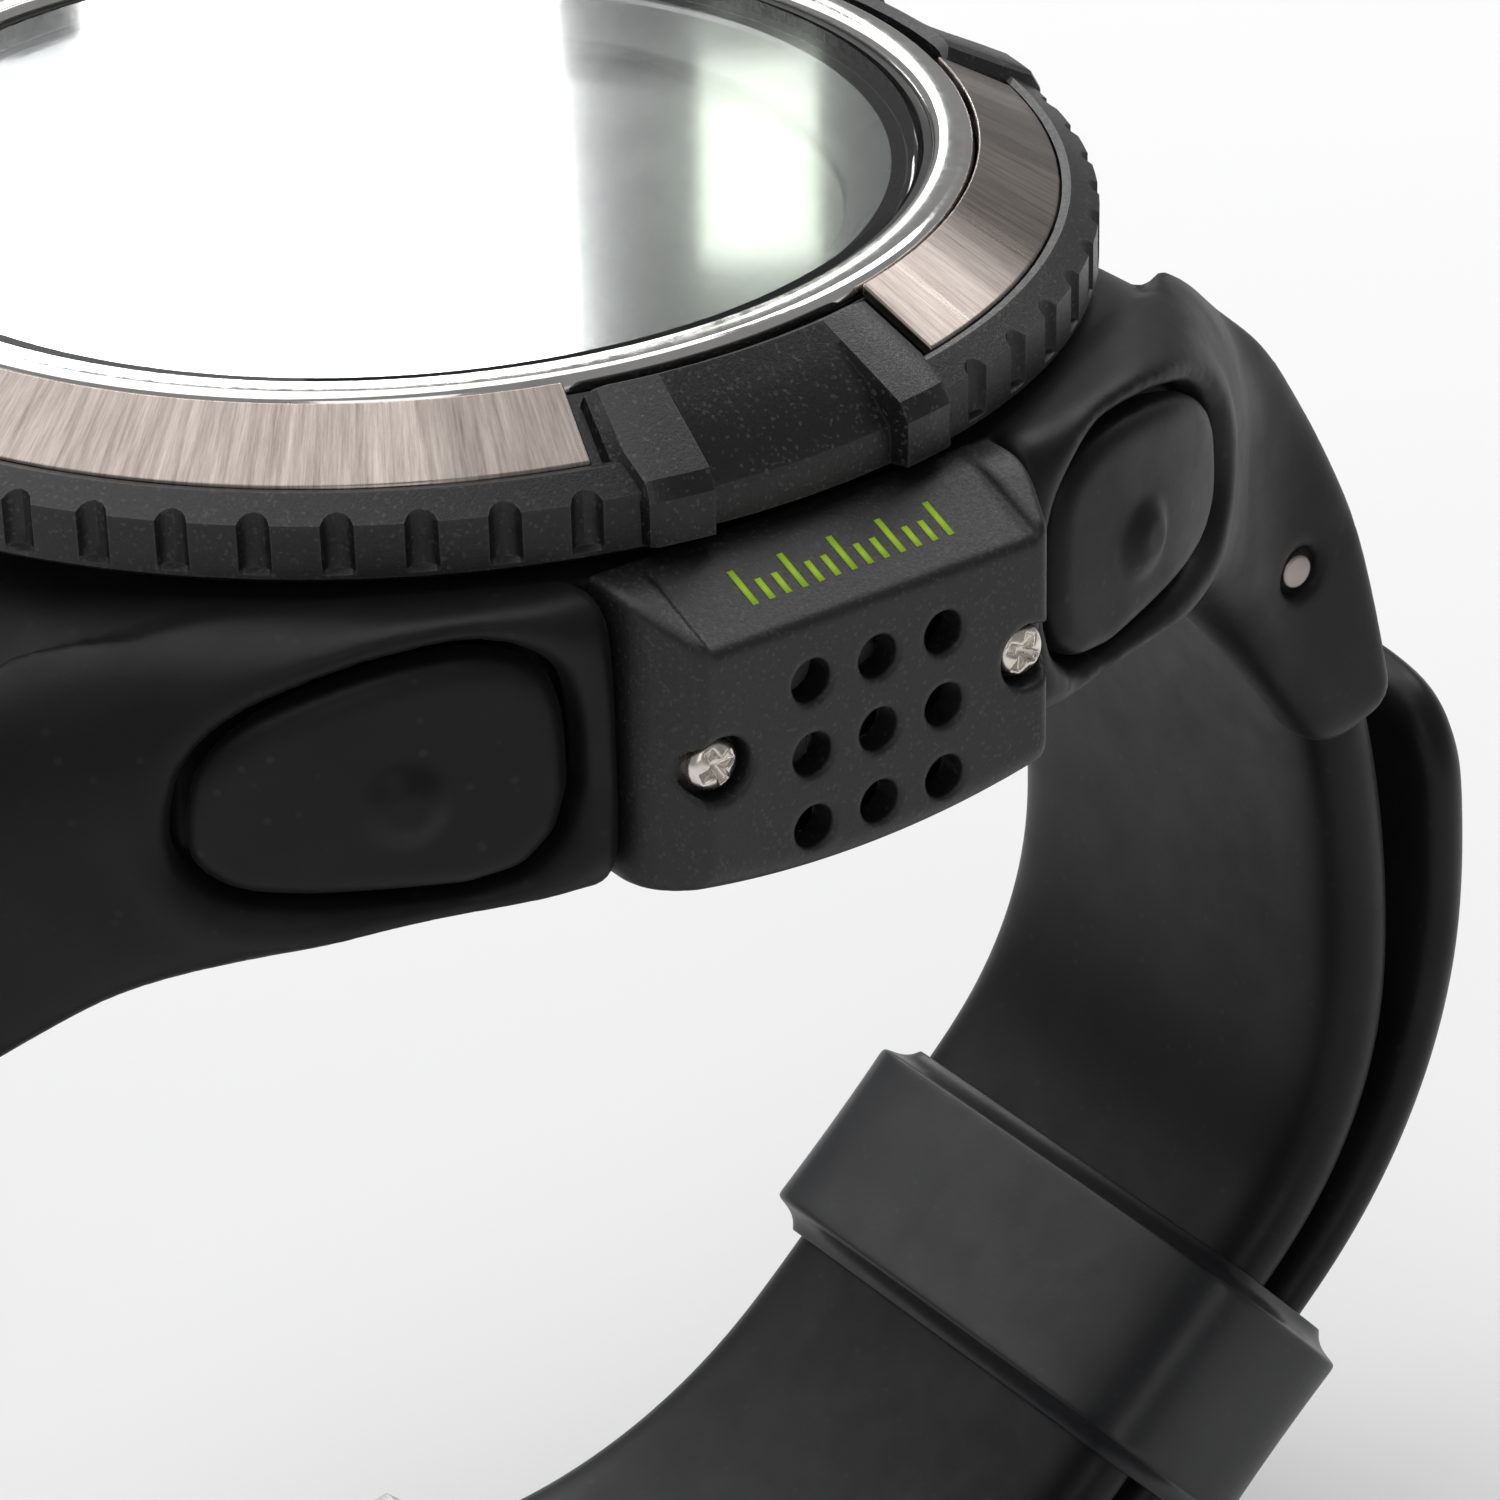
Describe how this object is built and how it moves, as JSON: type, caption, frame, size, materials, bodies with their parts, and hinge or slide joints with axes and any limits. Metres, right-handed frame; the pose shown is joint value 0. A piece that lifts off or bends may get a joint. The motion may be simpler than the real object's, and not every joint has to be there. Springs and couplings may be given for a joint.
{
  "type": "dive computer",
  "caption": "Wrist dive computer with a rotating coin-edge bezel, depth sensor cover, push pads and a buckled rubber strap.",
  "frame": {"origin": "centre of the case back's flat face, on the dial's axis", "axes": "+Z out of the dial, +X from the dial's centre to the depth sensor at three o'clock, +Y towards twelve o'clock and the buckle-side strap"},
  "size_m": [0.053, 0.0814, 0.0721],
  "materials": {
    "case_rubber": "soft satin",
    "strap_rubber": "satin",
    "keeper_rubber": "satin",
    "pad_rubber": "soft satin",
    "bezel_resin": "fine grain",
    "grip_resin": "fine grain",
    "cover_resin": "fine texture",
    "insert_steel": "radial brushing, warm tint",
    "polished_steel": "mirror",
    "case_steel": "satin",
    "screw_steel": "polished",
    "spring_steel": "drawn",
    "crystal_glass": "polished",
    "seal_rubber": "matte",
    "flange_resin": "satin",
    "middle_resin": "moulded",
    "display_face": "liquid crystal",
    "board_laminate": "solder mask",
    "holder_resin": "moulded",
    "contact_brass": "plated",
    "sensor_steel": "turned"
  },
  "bodies": {
    "case": {"battery": "case_steel", "battery_contact": "contact_brass", "bezel_click_spring": "spring_steel", "bezel_retaining_wire": "spring_steel", "buckle_pin": "spring_steel", "button_seal_1": "seal_rubber", "button_seal_2": "seal_rubber", "button_seal_3": "seal_rubber", "button_seal_4": "seal_rubber", "button_spring_1": "spring_steel", "button_spring_2": "spring_steel", "button_spring_3": "spring_steel", "button_spring_4": "spring_steel", "buzzer_disc": "contact_brass", "case_back": "case_steel", "case_back_screws": "screw_steel", "case_back_seal": "seal_rubber", "case_jacket": "case_rubber", "case_middle": "middle_resin", "circuit_board": "board_laminate", "crystal": "crystal_glass", "crystal_gasket": "seal_rubber", "crystal_ring": "polished_steel", "dial_flange": "flange_resin", "display_module": "display_face", "module_holder": "holder_resin", "pressure_sensor": "sensor_steel", "sensor_cover": "cover_resin", "sensor_screw_1": "screw_steel", "sensor_screw_2": "screw_steel", "sensor_seal": "seal_rubber", "strap_long": "strap_rubber", "strap_pin_12": "spring_steel", "strap_pin_6": "spring_steel", "strap_short": "strap_rubber"},
    "bezel": {"bezel_ring": "bezel_resin", "bezel_insert": "insert_steel", "bezel_grip_1": "grip_resin", "bezel_grip_2": "grip_resin", "bezel_grip_3": "grip_resin", "bezel_grip_4": "grip_resin"},
    "keeper": {"strap_keeper": "keeper_rubber"},
    "buckle": {"buckle_frame": "case_steel"},
    "tongue": {"buckle_tongue": "case_steel"},
    "button_1": {"button_pad_1": "pad_rubber", "button_plunger_1": "spring_steel", "button_clip_1": "spring_steel"},
    "button_2": {"button_pad_2": "pad_rubber", "button_plunger_2": "spring_steel", "button_clip_2": "spring_steel"},
    "button_3": {"button_pad_3": "pad_rubber", "button_plunger_3": "spring_steel", "button_clip_3": "spring_steel"},
    "button_4": {"button_pad_4": "pad_rubber", "button_plunger_4": "spring_steel", "button_clip_4": "spring_steel"}
  },
  "joints": [
    {"name": "bezel_turn", "type": "hinge", "parent": "case", "child": "bezel", "pos_m": [0, 0, 0.012], "axis": [0, 0, 1], "continuous": true},
    {"name": "button_1_press", "type": "slide", "parent": "case", "child": "button_1", "axis": [-0.9336, 0.3584, 0], "range_m": [0, 0.0008], "stiffness_N_per_m": 2500, "springref_m": -0.0004, "deforming": ["button_spring_1"]},
    {"name": "button_2_press", "type": "slide", "parent": "case", "child": "button_2", "axis": [-0.9336, -0.3584, 0], "range_m": [0, 0.0008], "stiffness_N_per_m": 2500, "springref_m": -0.0004, "deforming": ["button_spring_2"]},
    {"name": "button_3_press", "type": "slide", "parent": "case", "child": "button_3", "axis": [0.9336, -0.3584, 0], "range_m": [0, 0.0008], "stiffness_N_per_m": 2500, "springref_m": -0.0004, "deforming": ["button_spring_3"]},
    {"name": "button_4_press", "type": "slide", "parent": "case", "child": "button_4", "axis": [0.9336, 0.3584, 0], "range_m": [0, 0.0008], "stiffness_N_per_m": 2500, "springref_m": -0.0004, "deforming": ["button_spring_4"]},
    {"name": "keeper_slide", "type": "slide", "parent": "case", "child": "keeper", "axis": [0, 0.7431, 0.6691], "range_m": [-0.0015, 0.0015]},
    {"name": "buckle_swing", "type": "hinge", "parent": "case", "child": "buckle", "pos_m": [0, 0.0045, -0.051], "axis": [1, 0, 0], "range_deg": [0, 10]},
    {"name": "tongue_swing", "type": "hinge", "parent": "buckle", "child": "tongue", "pos_m": [0, 0.0045, -0.051], "axis": [1, 0, 0], "range_deg": [0, 15]}
  ]
}
